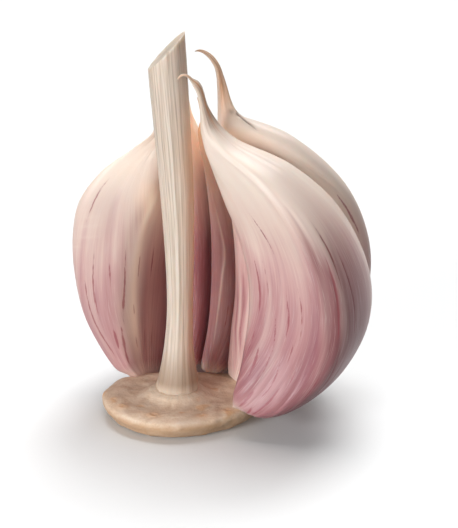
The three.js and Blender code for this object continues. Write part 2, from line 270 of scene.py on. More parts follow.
# outer and inner are lines in the upright plane at the azimuth plus the turn: distance from the stem, height.
# sideFacing and sideOffset place the two upright sides, and tail is a path of x, y, height and share of the neck.
# Marks lie at (turn, rise): turn is the share of a turn round the clove, from its outer line; rise is 0 at the base,
# 1 at the neck and more on the tail. A line is its width, what it gives, and the turns and rises along its path in
# pairs. A dash is its strength and such a path; a line may give one too. A patch is its turn and half width, its
# rise and half height, and what it gives.
# Some of what the lines and patches give is painted light and shade: the dark coat paints shade where a side turns
# from the light and over the cloves deep inside the bulb, the pale coat paints highlights on crests and tops besides
# pale skin, the tan coat paints the orange of light through thin necks besides tan husk, and the glow is an emission
# painted where light shows through thin skin or where a crest or crease lies in shade.
frontRight = dict(
    node="clove_front_right", seed=11, azimuth=-15, turn=[0] * 10,
    outer=[[13.6, 4.2], [17.2, 3.1], [22.5, 4.8], [28.2, 10.0], [31.6, 17.5], [31.0, 26.2], [26.4, 35.2],
           [18.6, 42.3], [10.4, 46.2], [6.9, 48.8]],
    inner=[[10.0, 4.3], [10.6, 7], [11.5, 12], [11.8, 18], [11.3, 25], [9.3, 31.5], [7.4, 37], [6.3, 41.5],
           [5.2, 45.5], [4.4, 48.8]],
    sideFacing=[-128, 96], sideOffset=[[1.9, 2.1, 0.4, -1.8, -2.6, -2.6, -1.2, 0, 0.6, 0.6], evenSide],
    bevelAngle=[35, 35], bevelDepth=[0.76, 0.88],
    tail=[[5.15, -2.6, 50.3, 0.74], [4.75, -3.0, 51.5, 0.52], [4.5, -3.2, 52.8, 0.43],
          [4.15, -3.5, 54.3, 0.4], [3.6, -3.8, 55.5, 0.37], [2.9, -4.1, 56.3, 0.2], [2.2, -4.3, 57.0, 0.14],
          [1.4, -4.5, 57.15, 0.12], [0.75, -4.6, 56.6, 0.08]],
    blush=0.8, blushFade=(0.15, 0.88), dusk=0.0, dryness=0.75, leanFrom=9, glow=(0.12, 1.6),
    lines=[
        (1.3, dict(ridge=0.24, pale=0.06, pink=0.12), 0.77, 0.08, 0.765, 0.2, 0.762, 0.32, 0.768, 0.42, 0.78, 0.52,
            0.782, 0.66, 0.775, 0.74, 0.756, 0.83, 0.73, 0.93),
        # painted shade: these two lines darken the strip where the side turns away from the light
        (1.0, dict(dusk=1.0), 0.835, 0.18, 0.828, 0.3, 0.821, 0.4, 0.821, 0.5, 0.819, 0.55, 0.816, 0.62, 0.815,
            0.74),
        (1.0, dict(dusk=0.85), 0.86, 0.18, 0.853, 0.3, 0.845, 0.4, 0.845, 0.5, 0.843, 0.55, 0.84, 0.62, 0.84, 0.74),
        (0.7, dict(ridge=-0.2, mauve=0.75, dusk=0.18), 0.785, 0.1, 0.785, 0.2, 0.782, 0.28, 0.779, 0.35, 0.787,
            0.43, 0.797, 0.52, 0.8, 0.62, 0.795, 0.72),
        (0.8, dict(ridge=0.12, pink=0.12), 0.8, 0.06, 0.795, 0.2, 0.79, 0.3, 0.793, 0.4, 0.803, 0.5, 0.81, 0.6),
        (1.1, dict(pale=0.12, tan=0.12), 0.815, 0.25, 0.81, 0.35, 0.815, 0.45, 0.825, 0.55, 0.83, 0.65),
        (1.2, dict(pale=0.45, ridge=0.08), 0.575, 0.14, 0.565, 0.22, 0.555, 0.32, 0.545, 0.42, 0.535, 0.52),
        (1.0, dict(mauve=0.4), 0.67, 0.1, 0.668, 0.25, 0.655, 0.38, 0.64, 0.5),
        (0.9, dict(mauve=0.3, pink=0.1), 0.615, 0.08, 0.615, 0.25, 0.605, 0.4, 0.59, 0.5),
        (1.0, dict(mauve=0.3), 0.722, 0.1, 0.712, 0.3, 0.7, 0.46),
        (0.6, dict(pale=0.25), 0.635, 0.1, 0.64, 0.3, 0.625, 0.5),
        (0.7, dict(pale=0.2), 0.69, 0.1, 0.685, 0.26, 0.67, 0.45),
        # painted shade and mauve skin on the right side, which turns from the light
        (1.0, dict(dusk=0.35, mauve=0.3), 0.87, 0.26, 0.887, 0.38, 0.88, 0.47, 0.882, 0.56, 0.895, 0.66),
        (0.7, dict(pale=0.25), 0.868, 0.3, 0.867, 0.45, 0.87, 0.6),
        (0.3, dict(dash=0.85, crack=0.2), 0.89, 0.12, 0.895, 0.21, 0.895, 0.32),
        (0.32, dict(dash=0.75, mauve=0.4), 0.68, 0.2, 0.672, 0.25, 0.655, 0.35),
        (0.3, dict(dash=0.9, crack=0.25), 0.872, 0.5, 0.873, 0.6, 0.868, 0.7),
        (0.27, dict(dash=1.0, crack=0.25), 0.846, 0.36, 0.85, 0.48, 0.851, 0.6),
        (0.25, dict(dash=0.95, crack=0.3), 0.91, 0.36, 0.91, 0.46, 0.905, 0.62),
        (0.27, dict(dash=0.95, crack=0.25), 0.865, 0.16, 0.868, 0.25, 0.862, 0.35),
    ],
    dashes=[
        (0.85, 0.672, 0.51, 0.66, 0.59, 0.642, 0.67), (1.0, 0.603, 0.29, 0.598, 0.36, 0.586, 0.48),
        (0.65, 0.63, 0.36, 0.625, 0.42, 0.618, 0.5), (0.7, 0.685, 0.14, 0.678, 0.2, 0.672, 0.24),
        (0.65, 0.73, 0.19, 0.728, 0.25, 0.722, 0.33), (0.65, 0.945, 0.2, 0.948, 0.28, 0.95, 0.36),
        (0.85, 0.7, 0.28, 0.696, 0.355, 0.688, 0.43), (0.75, 0.739, 0.3, 0.736, 0.41, 0.725, 0.5),
        (0.95, 0.66, 0.11, 0.65, 0.165, 0.637, 0.22), (0.8, 0.742, 0.035, 0.744, 0.1, 0.746, 0.175),
        (0.8, 0.716, 0.085, 0.722, 0.15, 0.709, 0.23), (0.9, 0.7, 0.025, 0.695, 0.07, 0.69, 0.115),
        (0.7, 0.737, 0.015, 0.73, 0.04, 0.722, 0.065), (0.75, 0.62, 0.13, 0.61, 0.2, 0.6, 0.27),
        (0.7, 0.835, 0.12, 0.83, 0.2, 0.832, 0.3), (0.7, 0.765, 0.12, 0.763, 0.19, 0.76, 0.26),
    ],
    patches=[
        (0.94, 0.11, 1.15, 0.13, dict(tan=0.75)), (0.97, 0.1, 1.04, 0.05, dict(tan=0.4)),
        # the second patch here paints shade over the right face, which turns from the light
        (0.79, 0.035, 0.36, 0.25, dict(pink=0.2, dusk=0.06)), (0.93, 0.085, 0.36, 0.34, dict(dusk=0.5, pink=0.35)),
        # the first patch here is a painted highlight; the second paints shade in a grey-brown strip beside the crest
        (0.85, 0.022, 0.7, 0.1, dict(pale=0.5, mauve=0.15)), (0.808, 0.012, 0.74, 0.09, dict(dusk=0.14, tan=0.1)),
        (0.66, 0.06, 0.13, 0.08, dict(pink=0.16)), (0.74, 0.06, 0.0, 0.025, dict(pale=0.5)),
        # a painted highlight high on the front
        (0.66, 0.05, 0.92, 0.12, dict(pale=0.4)),
    ],
)
right = dict(
    node="clove_right", seed=23, azimuth=24.5, turn=[0] * 10,
    outer=[[14.0, 3.9], [18.4, -0.2], [23.6, 2.6], [29.9, 10], [33.4, 20], [32.9, 29], [28.5, 37.8],
           [20.2, 45], [11.6, 48.9], [9.5, 51.5]],
    inner=[[9.5, 4.2], [9.8, 7], [10.2, 12], [10.6, 18], [10.4, 24], [9.8, 30], [8.8, 37], [7.8, 43],
           [7.6, 47.5], [7.6, 51.5]],
    sideFacing=[-84, 133], sideOffset=[[*evenSide[:8], -0.6, -1.2], [*evenSide[:8], -0.6, -1.2]],
    bevelAngle=[35, 35], bevelDepth=[0.86, 0.86],
    tail=[[7.55, 3.2, 53.3, 0.8], [7.2, 3.1, 55.2, 0.6], [6.75, 3, 56.8, 0.5], [5.9, 2.9, 58.2, 0.46],
          [4.9, 2.8, 59.1, 0.38], [4.0, 2.8, 59.45, 0.28], [3.2, 2.8, 59.35, 0.12]],
    blush=0.45, blushFade=(0.2, 0.85), dusk=0.0, dryness=1.0, leanFrom=12, glow=(0.15, 2.0),
    lines=[
        (1.3, dict(tan=0.25, pale=0.2), 0.84, 0.5, 0.82, 0.62, 0.8, 0.7, 0.775, 0.76, 0.745, 0.82, 0.7, 0.88, 0.655,
            0.95),
        (1.5, dict(pale=0.5, ridge=0.14), 0.845, 0.6, 0.835, 0.71, 0.828, 0.745, 0.795, 0.8, 0.77, 0.86, 0.72, 0.94),
        (0.3, dict(ridge=-0.12, dusk=0.15), 0.84, 0.6, 0.825, 0.67, 0.81, 0.71, 0.79, 0.76, 0.765, 0.81),
        (0.3, dict(crack=0.8, ridge=-0.1), 0.765, 0.895, 0.78, 0.92, 0.79, 0.95, 0.795, 0.98),
        (1.6, dict(tan=0.25), 0.74, 0.76, 0.7, 0.85, 0.66, 0.93),
        (1.8, dict(tan=0.3), 0.67, 0.72, 0.645, 0.83, 0.61, 0.93),
        (0.35, dict(crack=0.2), 0.7, 0.97, 0.7, 1.05, 0.7, 1.14),
        (0.3, dict(crack=0.2), 0.62, 0.98, 0.62, 1.06, 0.62, 1.15),
        (0.3, dict(crack=0.25), 0.745, 0.97, 0.75, 1.06, 0.75, 1.15),
        (0.5, dict(pale=0.4, ridge=0.06), 0.56, 0.02, 0.52, 0.15, 0.51, 0.45),
        (0.4, dict(pink=0.3), 0.575, 0.03, 0.535, 0.15, 0.525, 0.42),
        (0.4, dict(pale=0.35, ridge=0.05), 0.6, 0.03, 0.56, 0.15, 0.54, 0.42),
        (0.35, dict(pink=0.3), 0.535, 0.03, 0.5, 0.15, 0.495, 0.4),
        (0.8, dict(tan=0.2), 0.72, 0.97, 0.72, 1.1, 0.72, 1.25),
        (0.3, dict(crack=0.3), 0.66, 1.0, 0.66, 1.1, 0.66, 1.2),
        (0.3, dict(crack=0.3), 0.79, 1.0, 0.79, 1.1, 0.79, 1.2),
    ],
    dashes=[
        (1.0, 0.838, 0.53, 0.828, 0.6, 0.817, 0.67), (0.6, 0.55, 0.1, 0.532, 0.17, 0.527, 0.25),
    ],
    patches=[
        (0.88, 0.06, 0.5, 0.16, dict(dusk=0.1, mauve=0.3, pink=0.2)), (0.52, 0.07, 0.3, 0.3, dict(pink=0.2)),
        # the first patch here paints light on a side that lies in shade
        (0.8, 0.14, 0.76, 0.16, dict(pale=0.45)), (0.7, 0.07, 0.93, 0.025, dict(ridge=0.35, pale=0.4)),
        # the first patch here is a painted glow that lifts the shade in the crease under the front right clove
        (0.66, 0.09, 0.89, 0.05, dict(ember=0.26)), (0.78, 0.03, 0.955, 0.006, dict(crack=0.35, ridge=-0.3)),
        # painted glow on the neck, in both patches here
        (0.76, 0.05, 0.78, 0.08, dict(ember=0.05)), (0.7, 0.1, 1.0, 0.05, dict(ember=0.1)),
        (0.73, 0.03, 0.968, 0.006, dict(crack=0.35, ridge=-0.3)), (0.68, 0.03, 0.962, 0.006, dict(ridge=-0.15)),
        (0.66, 0.12, 1.02, 0.07, dict(tan=0.45)), (0.74, 0.1, 1.1, 0.05, dict(dusk=0.06)),
        # painted glow on the tail: a little in the first patch here, more in the second
        (0.76, 0.05, 1.16, 0.06, dict(tan=0.2, ember=0.06)), (0.72, 0.3, 1.2, 0.16, dict(ember=0.12)),
        (0.58, 0.03, 0.05, 0.05, dict(pale=0.4)),
    ],
)
backRight = dict(
    node="clove_back_right", seed=37, azimuth=57, turn=[0, 0, 0, 0, 0, 0, -2, -4, -6, -8],
    outer=[[12.8, 3.9], [17, -0.2], [22, 2.6], [26.5, 10], [28.5, 20], [27, 29], [22, 36.5], [14.5, 42],
           [9.2, 45], [7.6, 46.5]],
    inner=[[8.7, 4.2], [9.8, 7], [11.3, 12], [11.6, 18], [11.4, 24], [10.6, 30], [9, 36.5], [7.2, 41],
           [5.8, 44], [5, 46.5]],
    sideFacing=[-47, 161], sideOffset=[evenSide,
                [-0.15, -0.3, -0.6, -0.8, -0.9, -1, -1.1, -1.4, -1.7, -1.7]],
    bevelAngle=[35, 35], bevelDepth=[0.88, 0.88],
    tail=[[4.5, 4.8, 48, 0.62], [4.15, 4.6, 49.6, 0.42], [3.8, 4.5, 50.9, 0.25], [3.5, 4.4, 51.7, 0.1]],
    # the dark coat of 0.1 below is an even painted shade over this clove, which lies deep inside the bulb
    blush=0.75, blushFade=(0.4, 1.0), dusk=0.1, dryness=0.9, leanFrom=12, glow=(0.8, 7.0),
    lines=[
        (0.24, dict(pale=0.6, ridge=0.12), 0.51, 0.02, 0.5, 0.17, 0.518, 0.345, 0.528, 0.47, 0.515, 0.62, 0.505,
            0.72), (0.8, dict(mauve=0.4), 0.48, 0.05, 0.475, 0.3, 0.48, 0.6),
        (0.7, dict(mauve=0.4), 0.55, 0.05, 0.55, 0.3, 0.545, 0.55),
    ],
    dashes=[
        (0.6, 0.545, 0.1, 0.55, 0.2, 0.552, 0.3), (0.5, 0.475, 0.15, 0.478, 0.28, 0.482, 0.4),
    ],
    patches=[
        # painted shade low on the clove; at the neck, tan, pale and emission make a painted orange glow of light
        # through thin skin
        (0.52, 0.12, 0.3, 0.4, dict(dusk=0.15, pink=0.1)), (0.53, 0.1, 0.95, 0.14, dict(tan=0.5, pale=0.3)),
        (0.53, 0.2, 1.05, 0.16, dict(ember=0.35)), (0.53, 0.1, 0.35, 0.4, dict(pale=0.12)),
        (0.53, 0.2, 1.02, 0.12, dict(tan=0.6)), (0.53, 0.1, 0.75, 0.16, dict(ember=0.06)),
    ],
)
back = dict(
    node="clove_back", seed=41, azimuth=86, turn=[0, 0, 0, 0, 0, 0, -2, -4, -5, -5],
    outer=[[12.8, 3.9], [17, -0.2], [22, 2.6], [26.5, 10], [28.5, 20], [27, 29], [22, 37], [14.5, 43],
           [9, 46.2], [7.0, 49]],
    inner=[[8.7, 4.2], [9.9, 7], [11.3, 12], [11.5, 18], [11.3, 24], [10.4, 30], [8.8, 37], [6.8, 42],
           [5, 46], [4.2, 49]],
    sideFacing=[-19, 190], sideOffset=[[-0.15, 0, 0.3, 0.5, 0.6, 0.7, 0.8, 1.1, 1.4, 0.9],
                [-0.15, -0.9, -1.7, -2.2, -2.2, -2.1, -1.6, -0.9, -0.15, -0.15]],
    bevelAngle=[35, 35], bevelDepth=[0.88, 0.88],
    tail=[[1.0, 5, 51.5, 0.7], [0.8, 4.6, 54, 0.5], [0.6, 4.3, 55.3, 0.3], [0.3, 4.2, 56, 0.1]],
    # the dark coat of 0.2 below is an even painted shade over this clove, which lies deep inside the bulb
    blush=0.8, blushFade=(0.4, 1.0), dusk=0.2, dryness=0.9, leanFrom=12, glow=(0.9, 8.0),
    lines=[
        # painted shade along this strip
        (0.7, dict(dusk=0.3), 0.57, 0.05, 0.575, 0.3, 0.58, 0.6),
        (0.5, dict(mauve=0.4), 0.52, 0.05, 0.525, 0.3, 0.53, 0.6),
    ],
    dashes=[
        (0.6, 0.585, 0.12, 0.585, 0.25, 0.59, 0.38),
    ],
    patches=[
        # painted shade low on the clove; at the neck, tan, pale and emission make a painted orange glow of light
        # through thin skin
        (0.56, 0.12, 0.1, 0.45, dict(dusk=0.3, pink=0.1)), (0.56, 0.14, 0.9, 0.2, dict(tan=0.6, pale=0.35)),
        (0.56, 0.25, 0.98, 0.2, dict(ember=0.5)), (0.56, 0.2, 0.6, 0.12, dict(ember=0.05)),
    ],
)
left = dict(
    node="clove_left", seed=53, azimuth=150, turn=[0, 0, 0, 0, 0, -2, -8, -18, -28, -34],
    outer=[[11.0, 3.9], [13.0, 5.2], [15.7, 9.3], [18.4, 14.7], [19.9, 20.6], [20.0, 27.1], [18.2, 33.4],
           [13.6, 39.0], [8.8, 42.7], [6.0, 45.4]],
    inner=[[8.4, 4.2], [9.2, 7], [9.7, 11], [9.8, 16], [9.1, 22], [7.6, 29], [6, 35], [4.8, 39],
           [4.2, 42.5], [3.8, 45]],
    sideFacing=[10, 265], sideOffset=[[-0.15, 0.6, 1.4, 1.9, 1.9, 1.8, 1.3, 0.6, -0.15, -0.15],
                [-4, -4, -3.8, -3.6, -3.6, -3.6, -3.6, -3.6, -3.7, -3.8]],
    bevelAngle=[35, 40], bevelDepth=[0.88, 0.86],
    tail=[[-1.7, 5.0, 47.3, 0.7], [-1.5, 4.9, 49.5, 0.45], [-1.3, 4.8, 51, 0.25], [-1.1, 4.7, 52, 0.1]],
    blush=0.68, blushFade=(0.15, 0.92), dusk=0.0, dryness=0.9, leanFrom=6, glow=(0.12, 1.6),
    lines=[
        # painted light: the next three lines brighten the crest between the lit face and the shaded inner face, in
        # pale and in glow; the fourth adds painted shade and pink just past the crest
        (2.0, dict(pale=0.5, tan=0.08), 0.355, 0.02, 0.36, 0.12, 0.37, 0.23, 0.385, 0.35, 0.4, 0.46, 0.43, 0.57,
            0.46, 0.66, 0.49, 0.78),
        (1.5, dict(ridge=0.22, pale=0.6, tan=0.1), 0.33, 0.0, 0.325, 0.1, 0.34, 0.23, 0.352, 0.35, 0.371, 0.46, 0.4,
            0.57, 0.44, 0.66, 0.47, 0.76),
        (1.1, dict(ember=0.21), 0.345, 0.08, 0.352, 0.23, 0.362, 0.35, 0.378, 0.46, 0.4, 0.57, 0.425, 0.66, 0.445,
            0.78),
        (1.0, dict(dusk=0.16, pink=0.2), 0.388, 0.05, 0.395, 0.23, 0.41, 0.35, 0.425, 0.46, 0.45, 0.57, 0.48, 0.66),
        (1.1, dict(mauve=0.6), 0.288, 0.5, 0.29, 0.6, 0.296, 0.76),
        (0.9, dict(mauve=0.5), 0.225, 0.08, 0.223, 0.22, 0.22, 0.38),
        (0.8, dict(mauve=0.35), 0.27, 0.05, 0.272, 0.22, 0.27, 0.45),
        (0.8, dict(pale=0.25), 0.245, 0.08, 0.24, 0.3, 0.238, 0.5),
        (0.5, dict(mauve=0.5), 0.42, 0.15, 0.425, 0.3, 0.43, 0.5),
        (0.5, dict(mauve=0.5), 0.5, 0.15, 0.5, 0.3, 0.495, 0.5),
    ],
    dashes=[
        (0.8, 0.212, 0.6, 0.218, 0.7, 0.222, 0.82), (0.8, 0.26, 0.2, 0.256, 0.36, 0.251, 0.52),
        (0.75, 0.298, 0.32, 0.297, 0.4, 0.296, 0.48), (0.85, 0.318, 0.18, 0.333, 0.38, 0.343, 0.52),
        (0.85, 0.285, 0.11, 0.288, 0.16, 0.29, 0.21), (0.85, 0.38, 0.36, 0.385, 0.41, 0.39, 0.47),
        (1.0, 0.455, 0.34, 0.456, 0.41, 0.457, 0.48), (0.85, 0.53, 0.32, 0.527, 0.39, 0.525, 0.46),
        (0.75, 0.352, 0.23, 0.354, 0.255, 0.355, 0.285), (0.7, 0.348, 0.09, 0.348, 0.12, 0.348, 0.155),
        (0.85, 0.262, 0.06, 0.24, 0.24, 0.228, 0.46), (0.8, 0.292, 0.03, 0.305, 0.12, 0.314, 0.24),
        (0.8, 0.41, 0.07, 0.412, 0.12, 0.415, 0.17), (0.8, 0.48, 0.07, 0.485, 0.11, 0.49, 0.16),
    ],
    patches=[
        (0.47, 0.1, 0.3, 0.45, dict(pale=0.12, tan=0.1, pink=0.12)),
        # painted glow on the inner face and crest, here and on the next line
        (0.46, 0.06, 0.62, 0.2, dict(pale=0.35, ember=0.08)), (0.42, 0.04, 0.7, 0.1, dict(ember=0.27)),
        (0.47, 0.08, 0.15, 0.15, dict(ember=0.045)), (0.345, 0.03, 0.14, 0.14, dict(ember=0.14, pink=0.08)),
        # the second patch here is a painted highlight and glow on the top
        (0.44, 0.06, 0.75, 0.16, dict(tan=0.25, pale=0.3)), (0.25, 0.12, 0.88, 0.12, dict(pale=0.6, ember=0.16)),
        (0.27, 0.05, 0.7, 0.1, dict(mauve=0.35)), (0.24, 0.03, 0.25, 0.12, dict(mauve=0.35)),
        (0.228, 0.03, 0.6, 0.005, dict(pale=0.25, ridge=0.04)),
        (0.228, 0.035, 0.56, 0.005, dict(pale=0.25, ridge=0.04)),
        (0.195, 0.015, 0.52, 0.005, dict(pale=0.3, ridge=0.03)),
        (0.22, 0.025, 0.64, 0.005, dict(pale=0.3, ridge=0.03)),
    ],
)


def cloveSections(clove, t):
    # A cross-section lies between the outer and the inner line. Its faces are the outer, the inner, two upright
    # sides and a bevel between the outer and each side. A face is a direction (x across, y round) and its distance
    # from the section's middle.
    azimuth = np.radians(clove["azimuth"] + curveAt(clove["turn"], t)[:, 0])
    zero = np.zeros(len(t))
    away = np.stack([np.cos(azimuth), np.sin(azimuth), zero], -1)
    aroundWay = np.stack([-np.sin(azimuth), np.cos(azimuth), zero], -1)
    up = np.array([0, 0, 1.0])
    outerLine, innerLine = curveAt(clove["outer"], t), curveAt(clove["inner"], t)
    outer = away * outerLine[:, :1] + up * outerLine[:, 1:]
    inner = away * innerLine[:, :1] + up * innerLine[:, 1:]
    half = np.linalg.norm(outer - inner, axis=1) / 2
    across = (outer - inner) / (2 * half)[:, None]
    middle = (outer + inner) / 2
    sides = []
    for facing, offsets in zip(clove["sideFacing"], clove["sideOffset"]):
        normal = aroundRing(math.radians(facing), 1, 0)
        sides.append((normal, curveAt(offsets, t)[:, 0]))
    reach = [(offset - middle @ normal) / (aroundWay @ normal) for normal, offset in sides]
    middle = middle + aroundWay * ((reach[0] + reach[1]) / 2)[:, None]
    faces = [(zero + 1, zero, half), (zero - 1, zero, half)]
    for normal, offset in sides:
        x, y = across @ normal, aroundWay @ normal
        length = np.hypot(x, y)
        distance = np.maximum((offset - middle @ normal) / length, cloveForm["leastHalfWidth"])
        faces.append((x / length, y / length, distance))
    for k, sign in enumerate((-1, 1)):
        x, y, distance = faces[2 + k]
        corner = (distance - x * half) / y
        angle = math.radians(clove["bevelAngle"][k])
        bevelX, bevelY = math.cos(angle), sign * math.sin(angle)
        reachOut = (bevelX * half + bevelY * corner) * clove["bevelDepth"][k]
        faces.append((zero + bevelX, zero + bevelY, np.maximum(reachOut, cloveForm["leastHalfWidth"])))
    return middle, across, aroundWay, faces, curveAt(cloveForm["cornerPower"], t)


def sectionReach(faces, power, angles):
    # how far a section reaches at each angle: the p-norm of its faces, which rounds every corner
    total = sum(np.maximum((x[:, None] * np.cos(angles) + y[:, None] * np.sin(angles)) / distance[:, None], 0)**power
                for x, y, distance in faces)
    return total ** (-1 / power)


def evenAngles(faces, power, count):
    # angles that divide one section's outline into steps of even length, and the outline's whole length
    fine = np.linspace(0, 2 * np.pi, cloveForm["outlineSpots"])
    reach = sectionReach(faces, power, fine)[0]
    spots = np.stack([reach * np.cos(fine), reach * np.sin(fine)], -1)
    length = runAlong(spots)
    return np.interp(np.arange(count) * length[-1] / count, length, fine), length[-1]


def turnTo(vectors, start, end):
    # Rodrigues' formula: the vectors turned by the rotation that takes start to end
    axis = np.cross(start, end)
    size = np.linalg.norm(axis)
    if size < tiny:
        return vectors
    axis, angle = axis / size, math.atan2(size, float(start @ end))
    return [v * math.cos(angle) + np.cross(axis, v) * math.sin(angle) + axis * (axis @ v) * (1 - math.cos(angle))
            for v in vectors]


def cloveSurface(clove):
    # The skin at row t and angle a: middle(t) + reach(t, a) * (cos a * across(t) + sin a * round(t)), then the
    # neck's outline carried on along the tail's path, shrinking by the path's fourth number.
    form = cloveForm
    last = len(clove["outer"]) - 1
    mid = cloveSections(clove, np.array([last / 2]))
    angles, girth = evenAngles(mid[3], mid[4], form["columns"])
    t = np.linspace(0, last, form["rows"])
    middle, across, aroundWay, faces, power = cloveSections(clove, t)
    reach = sectionReach(faces, power, angles)
    cos, sin = np.cos(angles)[:, None], np.sin(angles)[:, None]
    body = middle[:, None] + reach[..., None] * (cos * across[:, None] + sin * aroundWay[:, None])

    shoulder = -1 - form["rows"] // last
    narrowing = reach[shoulder].mean() / reach[-1].mean()
    path = np.vstack([[*middle[shoulder], narrowing], [*middle[-1], 1], clove["tail"]])
    s, step = np.linspace(1, len(path) - 1, form["tailRows"] + 1), form["headingStep"]
    spots = curveAt(path, s)
    headings = curveAt(path, s + step)[:, :3] - curveAt(path, s - step)[:, :3]
    headings /= np.linalg.norm(headings, axis=1, keepdims=True)
    before = headings[0]
    ways = [across[-1], aroundWay[-1]]
    tail = []
    for spot, heading in zip(spots[1:], headings[1:]):
        ways = turnTo(ways, before, heading)
        before = heading
        tail.append(spot[:3] + spot[3] * reach[-1][:, None] * (cos * ways[0] + sin * ways[1]))
    return np.concatenate([body, np.array(tail)]), girth


def softenNeck(grid):
    # diffusion along the rows, strongest at the neck, so that the body runs into its dry tail without a crease
    form = cloveForm
    share = bell(np.arange(len(grid)) - form["rows"], form["neckSpan"])[1:-1, None, None] * form["neckShare"]
    for _ in range(form["neckPasses"]):
        grid[1:-1] += share * (grid[:-2] - 2 * grid[1:-1] + grid[2:])
    return grid


def cloveFacts(grid, girth):
    # where every point lies on its clove: the share of a turn, the height as a share of the body, how much it
    # belongs to the tail, and its place on a straight cylinder of the clove's girth, in millimetres
    form = cloveForm
    centres = grid.mean(1)
    run = runAlong(centres)[:, None]
    bodyRun = run[form["rows"] - 1]
    turn = np.arange(form["columns"])[None] / form["columns"] + 0 * run
    size = np.linalg.norm(grid - centres[:, None], axis=-1).mean(1)[:, None]
    run = run + 0 * turn
    flow = aroundRing(2 * np.pi * turn, girth / (2 * np.pi), run)
    tailStart, tailFull = form["tailBlend"]
    return {"turn": turn, "rise": run / bodyRun, "tail": smoothStep(bodyRun + tailStart, bodyRun + tailFull, run),
            "size": size + 0 * turn, "width": girth * size / size[form["rows"] // 2], "flow": flow,
            "wander": form["wander"] * softNoise(flow / form["wanderSize"], form["wanderSeed"])}


def nearPath(facts, path):
    # how far every point is from a path, in millimetres round the clove, and how much of the path is left at its
    # rise: the sine of the way along it, raised to a power
    turns, rises = np.reshape(path, (-1, 2)).T
    station = np.interp(facts["rise"][:, 0], rises, np.arange(len(rises)))
    offset = (facts["turn"] - curveAt(turns, station) + 0.5) % 1 - 0.5
    along = np.clip((facts["rise"] - rises[0]) / (rises[-1] - rises[0]), 0, 1)
    return offset * facts["width"] + facts["wander"], np.sin(np.pi * along) ** cloveForm["taperPower"]


def markField(clove, facts, kind):
    # how much of one kind the clove's marks give: a patch is a bell curve across times a bell curve along, and a
    # line is a bell curve of the distance from its path
    total = 0 * facts["turn"]
    for turn, turnWidth, rise, riseWidth, gives in clove["patches"]:
        if kind in gives:
            offset = (facts["turn"] - turn + 0.5) % 1 - 0.5
            total = total + gives[kind] * bell(offset, turnWidth) * bell(facts["rise"] - rise, riseWidth)
    for width, gives, *path in clove["lines"]:
        if kind in gives:
            away, taper = nearPath(facts, path)
            total = total + gives[kind] * taper * bell(away, width * np.maximum(taper, cloveForm["leastTaper"]))
    return total


def dashField(clove, facts):
    # the dashes fall off evenly with the distance from their paths, so that the shader can cut fine lines out of it
    total = 0 * facts["turn"]
    dashes = [(gives["dash"], *path) for _, gives, *path in clove["lines"] if "dash" in gives]
    for strength, *path in clove["dashes"] + dashes:
        away, taper = nearPath(facts, path)
        reach = strength * taper ** cloveForm["dashPower"] - np.abs(away) / cloveForm["dashReach"]
        total = np.maximum(total, reach)
    return total


def cloveRelief(clove, facts):
    # millimetres along the normal: broad unevenness, long low ribs, pleats by the scar, folds on the dry tail,
    # and what the clove's own ridges and cracks add
    form, seed, flow, rise = cloveForm, clove["seed"], facts["flow"], facts["rise"]
    body, scarness = 1 - facts["tail"], 1 - smoothStep(*form["pleatRise"], rise)
    relief = (softNoise(flow / form["unevenSize"] + seed, seed) - 0.5) * form["unevenness"] * body
    ribs = softNoise(flow / form["ribSize"] + seed, seed + 1)
    relief += form["ribDepth"] * (ribs - 0.5) * body
    sway = form["pleatSway"] * softNoise(flow / form["pleatSize"], seed + 3)
    relief += form["pleatDepth"] * (np.sin(2 * np.pi * form["pleatCount"] * facts["turn"] + sway) - 1) * scarness
    folds = softNoise(flow / form["foldSize"] + seed, seed + 4)
    folds = folds + form["fineFoldShare"] * softNoise(flow / form["fineFoldSize"], seed + 5)
    relief += form["tailFold"] * facts["size"] * (folds - 0.5) * facts["tail"]
    relief += markField(clove, facts, "ridge") - form["crackDepth"] * markField(clove, facts, "crack")
    return relief - form["skinInset"]


def cloveFields(clove, facts):
    # the four vectors that the skin's shader reads from the points
    rise, form = facts["rise"], cloveForm
    pink, pale, dusk, tan, crack, mauve, ember = (
        markField(clove, facts, kind) for kind in ("pink", "pale", "dusk", "tan", "crack", "mauve", "ember"))
    pink = clove["blush"] * (1 - smoothStep(*clove["blushFade"], rise)) + pink
    pale = pale + form["paleHem"] * (1 - smoothStep(0.0, form["paleHemRise"], rise))
    return {
        "flow": facts["flow"],
        "tone": np.stack([pink, pale, tan], -1),
        # the dark coat here is mostly painted shade; the pale and tan coats and the glow also carry painted light
        "wear": np.stack([clove["dryness"] * facts["tail"], crack, clove["dusk"] + dusk], -1),
        "marks": np.stack([dashField(clove, facts), mauve, ember], -1),
    }


def closeScar(grid, fields):
    # rings that draw the base in to a low rounded pad, which sits on the plate
    count = cloveForm["scarRows"]
    rings = ringsInward(grid[0], np.linspace(*cloveForm["scarRings"], count), cloveForm["scarDrop"])
    grid = np.concatenate([rings, grid])
    grid[..., 2] = np.maximum(grid[..., 2], 0)
    return grid, {name: np.concatenate([np.repeat(values[:1], count, 0), values]) for name, values in fields.items()}


